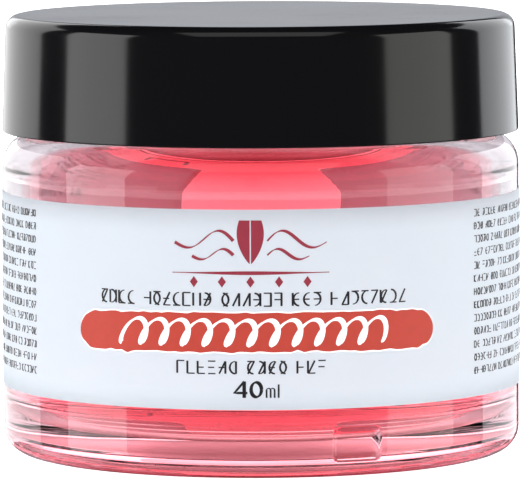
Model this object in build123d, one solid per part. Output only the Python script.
from build123d import *
import math
import os

# An ink bottle: a heavy-walled, straight-sided glass jar with a continuous-thread neck, filled with
# drawing ink, wrapped in a paper label, and closed by a smooth black screw cap. The cap is
# double-walled: a drafted outer shell is snapped over a threaded insert, and a foam disc faced with
# film seals the jar's rim. Millimetres, +Z up, the front is -Y, and the origin is the centre of the
# circle that the jar stands on.

# ---- glass jar: driving sizes
body_diameter = 60.0
shoulder_height = 37.0        # table to the flat on top of the shoulder
neck_height = 10.0            # shoulder flat to rim
neck_wall = 4.3               # between the neck's outside and the bore, under the thread
base_thickness = 3.4          # table to the cavity's floor
heel_radius = 2.8
shoulder_radius = 3.6
neck_root_radius = 0.7
rim_outer_radius = 0.8
rim_inner_radius = 1.2
floor_corner_radius = 3.6
bearing_ring_width = 2.0
punt_height = 1.0             # rise of the concave underside at its middle

# ---- index notches: moulded recesses in the heel that turn the jar to its label
notch_width = 5.8
notch_height = 3.6
notch_depth = 0.9
notch_bottom = 2.1
notch_edge_radius = 0.8
notch_block_share = 4.0       # thickness of the block that cuts a notch, in notch depths
notch_turn = 21.0             # degrees from the front, towards +X
notch_count = 2

# ---- thread: single start, right hand
thread_lead = 25.4 / 6
jar_thread_height = 1.2
jar_thread_base = 2.6
jar_thread_crest = 1.0
jar_thread_turns = 1.25
jar_thread_angle = 0.0        # where the ridge's lower end starts, anticlockwise from +X
jar_thread_below_rim = 2.3    # rim to the middle of the ridge's upper end
cap_thread_base = 2.0
cap_thread_crest = 0.8
cap_thread_turns = 1.1
cap_thread_above_skirt = 1.3  # insert's lower edge to the middle of the ridge's lower end
thread_radial_clearance = 0.3
thread_flank_clearance = 0.15
thread_root_bite = 0.3        # how far a ridge's root runs into its wall

# ---- cap shell and insert
shell_wall = 1.3
shell_top_wall = 1.3
shell_edge_radius = 1.5
shell_inner_radius = 0.6
shell_draft = 0.5             # how much smaller the shell's radius is at the top
cap_overhang = 0.0            # shell's lower edge past the jar's body
cap_gap = 0.3                 # shoulder flat to the shell's lower edge
insert_wall = 1.0
insert_top_wall = 1.2
insert_edge_radius = 1.0
insert_recess = 0.7           # shell's lower edge to the insert's lower edge
insert_flange_height = 1.0
rib_depth = 0.6
rib_width = 0.8
rib_count = 24
snap_bead_height = 0.25
snap_bead_length = 0.5
rib_side_gap = 0.02           # between a rib and the shell
outer_break = 0.2             # rounding of the plastic's outer edges
inner_break = 0.1             # rounding of its inner edges
fit_gap = 0.02                # between pieces that touch

# ---- sealing disc
foam_thickness = 1.0
film_thickness = 0.2
liner_play = 0.3              # disc's edge to the insert's wall

# ---- label and ink
paper_thickness = 0.10
label_above_heel = 5.2
label_below_shoulder = 2.9
label_gap = 11.4              # along the curve, between the two ends at the back
label_corner_radius = 1.5
ink_below_shoulder = 4.0      # shoulder flat to the ink's surface

# ---- radii, each from the piece outside it
body_radius = body_diameter / 2
shell_radius = body_radius + cap_overhang
shell_bore_low = shell_radius - shell_wall
shell_bore_high = shell_bore_low - shell_draft
insert_radius = shell_bore_high - rib_depth
insert_bore = insert_radius - insert_wall
jar_thread_radius = insert_bore - thread_radial_clearance
neck_radius = jar_thread_radius - jar_thread_height
cap_thread_radius = neck_radius + thread_radial_clearance
bore_radius = neck_radius - neck_wall
liner_radius = insert_bore - liner_play
label_radius = body_radius + fit_gap
ring_outer = body_radius - heel_radius
ring_inner = ring_outer - bearing_ring_width

# ---- heights, each from the piece below it
rim_z = shoulder_height + neck_height
film_z = rim_z + fit_gap
foam_z = film_z + film_thickness
insert_top_under = foam_z + foam_thickness + fit_gap
insert_top = insert_top_under + insert_top_wall
shell_top_under = insert_top + fit_gap
shell_top = shell_top_under + shell_top_wall
shell_bottom = shoulder_height + cap_gap
shell_height = shell_top - shell_bottom
insert_bottom = shell_bottom + insert_recess
ink_surface = shoulder_height - ink_below_shoulder
label_bottom = heel_radius + label_above_heel
label_top = shoulder_height - shoulder_radius - label_below_shoulder


def turned(*edges):
    """A solid of revolution about Z from edges drawn in the XZ plane as (radius, height)."""
    outline = make_face([Plane.XZ * edge for edge in edges])
    return revolve(outline, Axis.Z, 360)


def half_width(radius, root_radius, root_width, crest_radius, crest_width):
    """Half the thickness of a tapered ridge at one radius between its root and its crest."""
    share = (radius - root_radius) / (crest_radius - root_radius)
    return (root_width + share * (crest_width - root_width)) / 2


def thread_ridge(root_radius, crest_radius, root_width, crest_width, low_z, low_angle, turns):
    """One helical ridge, rising anticlockwise from low_angle, its flanks carried on into its wall."""
    outward = math.copysign(1, crest_radius - root_radius)
    sunk_radius = root_radius - outward * thread_root_bite
    sunk_half = half_width(sunk_radius, root_radius, root_width, crest_radius, crest_width)
    corners = [
        (sunk_radius, sunk_half),
        (crest_radius, crest_width / 2),
        (crest_radius, -crest_width / 2),
        (sunk_radius, -sunk_half),
    ]
    section = Plane.XZ * make_face(Polyline(*corners, close=True))
    path = Helix(pitch=thread_lead, height=thread_lead * turns, radius=root_radius)
    ridge = sweep(section, path=path, is_frenet=True)
    return Pos(0, 0, low_z) * Rot(0, 0, low_angle) * ridge


def fade_cutter(root_radius, crest_radius, middle_z, angle):
    """A block whose flat side slices one end of an outward ridge, so that it runs out in a ramp."""
    flat = root_radius - thread_root_bite / 2
    reach = 2 * math.sqrt(crest_radius**2 - flat**2) + jar_thread_base
    block = Box(2 * jar_thread_base, reach, 2 * jar_thread_base)
    return Rot(0, 0, angle) * Pos(flat + jar_thread_base, 0, middle_z) * block


# ---- thread places
jar_thread_rise = thread_lead * jar_thread_turns
jar_thread_low = rim_z - jar_thread_below_rim - jar_thread_rise
cap_thread_low = insert_bottom + cap_thread_above_skirt
flank_sum = half_width(
    cap_thread_radius, neck_radius, jar_thread_base, jar_thread_radius, jar_thread_crest
) + cap_thread_crest / 2
cap_thread_drop = flank_sum + thread_flank_clearance
cap_thread_climb = cap_thread_low + cap_thread_drop - jar_thread_low
cap_thread_angle = jar_thread_angle + 360 * cap_thread_climb / thread_lead


def make_notch():
    """A rounded block that cuts one index notch."""
    thickness = notch_block_share * notch_depth
    block = Box(thickness, notch_width, notch_height)
    block = fillet(block.edges(), notch_edge_radius)
    middle = body_radius - notch_depth + thickness / 2
    return Pos(middle, 0, notch_bottom + notch_height / 2) * block


def make_glass_jar():
    """The jar: one turned wall with a straight bore, its thread ridge and the notches in its heel."""
    wall = FilletPolyline(
        (0, base_thickness),
        (bore_radius, base_thickness),
        (bore_radius, rim_z),
        (neck_radius, rim_z),
        (neck_radius, shoulder_height),
        (body_radius, shoulder_height),
        (body_radius, 0),
        (ring_inner, 0),
        radius=[
            floor_corner_radius,
            rim_inner_radius,
            rim_outer_radius,
            neck_root_radius,
            shoulder_radius,
            heel_radius,
        ],
    )
    punt_radius = (ring_inner**2 + punt_height**2) / (2 * punt_height)
    half_way = ring_inner / 2
    half_rise = math.sqrt(punt_radius**2 - half_way**2) - (punt_radius - punt_height)
    punt = ThreePointArc((ring_inner, 0), (half_way, half_rise), (0, punt_height))
    middle = Line((0, punt_height), (0, base_thickness))
    jar = turned(*wall.edges(), punt, middle)

    ridge = thread_ridge(
        neck_radius,
        jar_thread_radius,
        jar_thread_base,
        jar_thread_crest,
        jar_thread_low,
        jar_thread_angle,
        jar_thread_turns,
    )
    for share in (0, 1):
        end_z = jar_thread_low + share * jar_thread_rise
        end_angle = jar_thread_angle + share * 360 * jar_thread_turns
        ridge -= fade_cutter(neck_radius, jar_thread_radius, end_z, end_angle)
    jar += ridge

    for number in range(notch_count):
        turn = -90 + notch_turn + number * 360 / notch_count
        jar -= Rot(0, 0, turn) * make_notch()
    return jar


def make_ink():
    """The ink, up to its surface, a hair clear of the glass."""
    radius = bore_radius - fit_gap
    floor = base_thickness + fit_gap
    wetted = FilletPolyline(
        (0, floor),
        (radius, floor),
        (radius, ink_surface),
        radius=floor_corner_radius - fit_gap,
    )
    surface = Polyline((radius, ink_surface), (0, ink_surface), (0, floor))
    return turned(*wetted.edges(), *surface.edges())


def make_label():
    """The wrap-around label: a thin band with rounded corners, open at the back."""
    gap_angle = math.degrees(label_gap / label_radius)
    start = 90 + gap_angle / 2
    sweep_angle = 360 - gap_angle
    outer_radius = label_radius + paper_thickness
    inner = CenterArc((0, 0), label_radius, start, sweep_angle)
    outer = CenterArc((0, 0), outer_radius, start, sweep_angle)
    ends = [Line(inner @ share, outer @ share) for share in (0, 1)]
    band = extrude(make_face([inner, outer, *ends]), label_top - label_bottom)
    across = band.edges().filter_by(lambda edge: edge.length < 2 * paper_thickness)
    corners = across.filter_by(Axis.Z, reverse=True)
    return Pos(0, 0, label_bottom) * fillet(corners, label_corner_radius)


def shell_bore(z):
    """The shell's inner radius at a height: it tapers with the shell's draft."""
    return shell_bore_low - shell_draft * (z - shell_bottom) / shell_height


def make_cap_shell():
    """The outer shell: a drafted cup, open downwards, with a bead that holds the insert."""
    outer_high = shell_radius - shell_draft
    bead_low = insert_bottom - fit_gap - snap_bead_length
    bead_middle = bead_low + snap_bead_length / 2
    bead_high = bead_low + snap_bead_length

    outer = FilletPolyline(
        (shell_bore_low, shell_bottom),
        (shell_radius, shell_bottom),
        (outer_high, shell_top),
        (0, shell_top),
        radius=[outer_break, shell_edge_radius],
    )
    inner = FilletPolyline(
        (0, shell_top_under),
        (shell_bore(shell_top_under), shell_top_under),
        (shell_bore(bead_high), bead_high),
        radius=[shell_inner_radius],
    )
    bead = Polyline(
        (shell_bore(bead_high), bead_high),
        (shell_bore(bead_middle) - snap_bead_height, bead_middle),
        (shell_bore(bead_low), bead_low),
        (shell_bore_low, shell_bottom),
    )
    axis_line = Line((0, shell_top), (0, shell_top_under))
    return turned(*outer.edges(), axis_line, *inner.edges(), *bead.edges())


def make_cap_insert():
    """The threaded insert: a cup with a foot flange, ribs that centre it in the shell, and a thread."""
    flange_top = insert_bottom + insert_flange_height
    cup = FilletPolyline(
        (0, insert_top),
        (insert_radius, insert_top),
        (insert_radius, flange_top),
        (shell_bore(flange_top) - fit_gap, flange_top),
        (shell_bore(insert_bottom) - fit_gap, insert_bottom),
        (insert_bore, insert_bottom),
        (insert_bore, insert_top_under),
        (0, insert_top_under),
        radius=[
            insert_edge_radius,
            outer_break,
            inner_break,
            inner_break,
            outer_break,
            inner_break,
        ],
    )
    insert = turned(*cup.edges(), Line((0, insert_top_under), (0, insert_top)))
    insert += thread_ridge(
        insert_bore,
        cap_thread_radius,
        cap_thread_base,
        cap_thread_crest,
        cap_thread_low,
        cap_thread_angle,
        cap_thread_turns,
    )

    rib_low = flange_top - insert_flange_height / 2
    rib_top = insert_top - insert_edge_radius
    rib_root = insert_radius - insert_wall / 2
    rib_outline = Plane.XZ * make_face(
        Polyline(
            (rib_root, rib_low),
            (shell_bore(rib_low) - fit_gap - rib_side_gap, rib_low),
            (shell_bore(rib_top) - fit_gap - rib_side_gap, rib_top),
            (rib_root, rib_top),
            close=True,
        )
    )
    rib_angle = math.degrees(rib_width / insert_radius)
    rib = revolve(rib_outline, Axis.Z, rib_angle)
    return insert + [Rot(0, 0, number * 360 / rib_count) * rib for number in range(rib_count)]


def make_disc(thickness, low_z):
    """One layer of the sealing disc."""
    return Pos(0, 0, low_z) * Cylinder(
        liner_radius, thickness, align=(Align.CENTER, Align.CENTER, Align.MIN)
    )


nodes = {
    "glass_jar": make_glass_jar(),
    "ink_fill": make_ink(),
    "wrap_label": make_label(),
    "cap_shell": make_cap_shell(),
    "cap_insert": make_cap_insert(),
    "liner_foam": make_disc(foam_thickness, foam_z),
    "liner_film": make_disc(film_thickness, film_z),
}

os.makedirs("parts", exist_ok=True)
for name, solid in nodes.items():
    export_step(solid, f"parts/{name}.step")
    print(name, "volume", round(solid.volume), "mm3")
print("overall height", round(shell_top, 2), "ink ml", round(nodes["ink_fill"].volume / 1000, 1))
